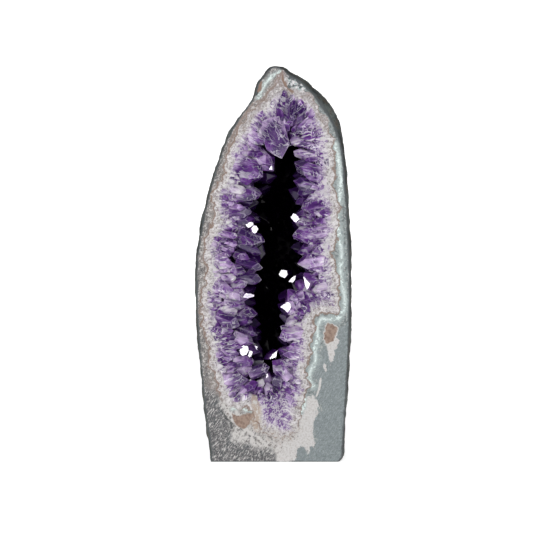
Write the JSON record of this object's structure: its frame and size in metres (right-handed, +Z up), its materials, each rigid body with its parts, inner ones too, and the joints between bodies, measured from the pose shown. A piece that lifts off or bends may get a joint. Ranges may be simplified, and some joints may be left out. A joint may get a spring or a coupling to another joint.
{
  "type": "amethyst geode",
  "caption": "Tall amethyst geode sawn open along its length, standing on a flat sawn base, with crystals lining a deep open cavity.",
  "frame": {"origin": "middle of the bounding box seen from above, on the plane of the sawn base", "axes": "+Z up along the geode's length, -Y out of the cavity through the sawn front, +X to the right of someone facing the cavity"},
  "size_m": [0.144, 0.1182, 0.3624],
  "materials": {
    "rock": "sawn grey-green basalt with a pale agate band and white quartz next to the cavity, rough and dark on the natural outside",
    "amethyst": "glassy purple quartz crystals, deeper purple towards their tips"
  },
  "bodies": {
    "root": {"rock_shell": "rock", "deep_crystal_1a": "amethyst", "deep_crystal_1b": "amethyst", "deep_crystal_1c": "amethyst", "deep_crystal_1d": "amethyst", "deep_crystal_1e": "amethyst", "deep_crystal_1f": "amethyst", "deep_crystal_1h": "amethyst", "deep_crystal_2a": "amethyst", "deep_crystal_2b": "amethyst", "deep_crystal_2c": "amethyst", "deep_crystal_2d": "amethyst", "deep_crystal_2e": "amethyst", "deep_crystal_2f": "amethyst", "deep_crystal_2g": "amethyst", "deep_crystal_3a": "amethyst", "deep_crystal_3b": "amethyst", "deep_crystal_3c": "amethyst", "deep_crystal_3d": "amethyst", "deep_crystal_3e": "amethyst", "floor_crystal_1": "amethyst", "floor_crystal_2": "amethyst", "left_crystal_1": "amethyst", "left_crystal_2": "amethyst", "left_crystal_3": "amethyst", "left_crystal_4": "amethyst", "left_crystal_5": "amethyst", "left_crystal_6": "amethyst", "left_crystal_7": "amethyst", "left_crystal_8": "amethyst", "left_crystal_9": "amethyst", "left_crystal_10": "amethyst", "left_crystal_11": "amethyst", "left_crystal_12": "amethyst", "left_crystal_13": "amethyst", "left_crystal_14": "amethyst", "left_crystal_15": "amethyst", "left_crystal_16": "amethyst", "left_crystal_17": "amethyst", "left_crystal_18": "amethyst", "right_crystal_1": "amethyst", "right_crystal_2": "amethyst", "right_crystal_3": "amethyst", "right_crystal_4": "amethyst", "right_crystal_5": "amethyst", "right_crystal_6": "amethyst", "right_crystal_7": "amethyst", "right_crystal_8": "amethyst", "right_crystal_9": "amethyst", "right_crystal_10": "amethyst", "right_crystal_11": "amethyst", "right_crystal_12": "amethyst", "right_crystal_13": "amethyst", "right_crystal_14": "amethyst", "right_crystal_15": "amethyst", "roof_crystal_1": "amethyst", "roof_crystal_2": "amethyst", "roof_crystal_3": "amethyst"}
  },
  "joints": []
}
